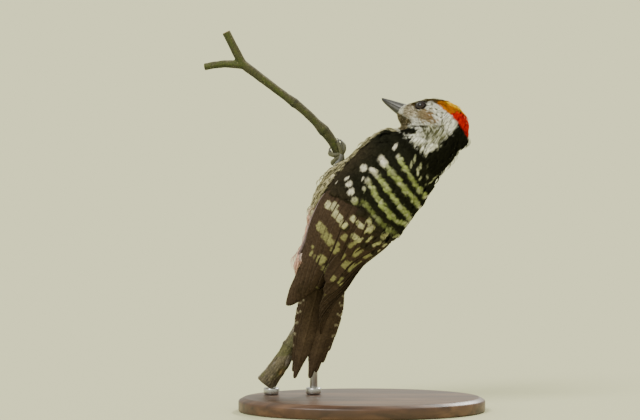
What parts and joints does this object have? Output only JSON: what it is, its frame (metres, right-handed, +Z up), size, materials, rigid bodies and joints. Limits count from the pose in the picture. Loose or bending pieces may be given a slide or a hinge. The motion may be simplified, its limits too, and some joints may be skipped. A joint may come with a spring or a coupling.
{
  "type": "woodpecker on a perch",
  "caption": "Still life-size woodpecker clinging upright to a cut forked stem, head turned to its left, stiff tail braced, on a plain oval display stand.",
  "frame": {"origin": "middle of the stand's flat underside", "axes": "+Z up, +X towards the bird's nape and away from its bill, +Y away from the viewer, on the belly side of the bird"},
  "size_m": [0.1413, 0.084, 0.1909],
  "materials": {
    "body_plumage": "matte",
    "wing_feathers": "matte",
    "tail_feathers": "matte",
    "bill_horn": "satin",
    "eyes": "glossy",
    "leg_skin": "matte",
    "bark": "rough",
    "stand_wood": "satin",
    "stand_steel": "brushed"
  },
  "bodies": {
    "root": {"head": "body_plumage", "neck": "body_plumage", "trunk": "body_plumage", "bill_upper": "bill_horn", "bill_lower": "bill_horn", "eye_left": "eyes", "eye_right": "eyes", "wing_left_coverts": "wing_feathers", "wing_left_secondaries": "wing_feathers", "wing_left_primaries": "wing_feathers", "tail_feather_left_1": "tail_feathers", "tail_feather_left_2": "tail_feathers", "tail_feather_left_3": "tail_feathers", "tail_feather_left_4": "tail_feathers", "tail_feather_left_5": "tail_feathers", "wing_right_coverts": "wing_feathers", "wing_right_secondaries": "wing_feathers", "wing_right_primaries": "wing_feathers", "tail_feather_right_1": "tail_feathers", "tail_feather_right_2": "tail_feathers", "tail_feather_right_3": "tail_feathers", "tail_feather_right_4": "tail_feathers", "tail_feather_right_5": "tail_feathers", "leg_left": "leg_skin", "leg_right": "leg_skin", "perch": "bark", "stand_base": "stand_wood", "stand_rod_lower": "stand_steel", "stand_rod_upper": "stand_steel"}
  },
  "joints": []
}
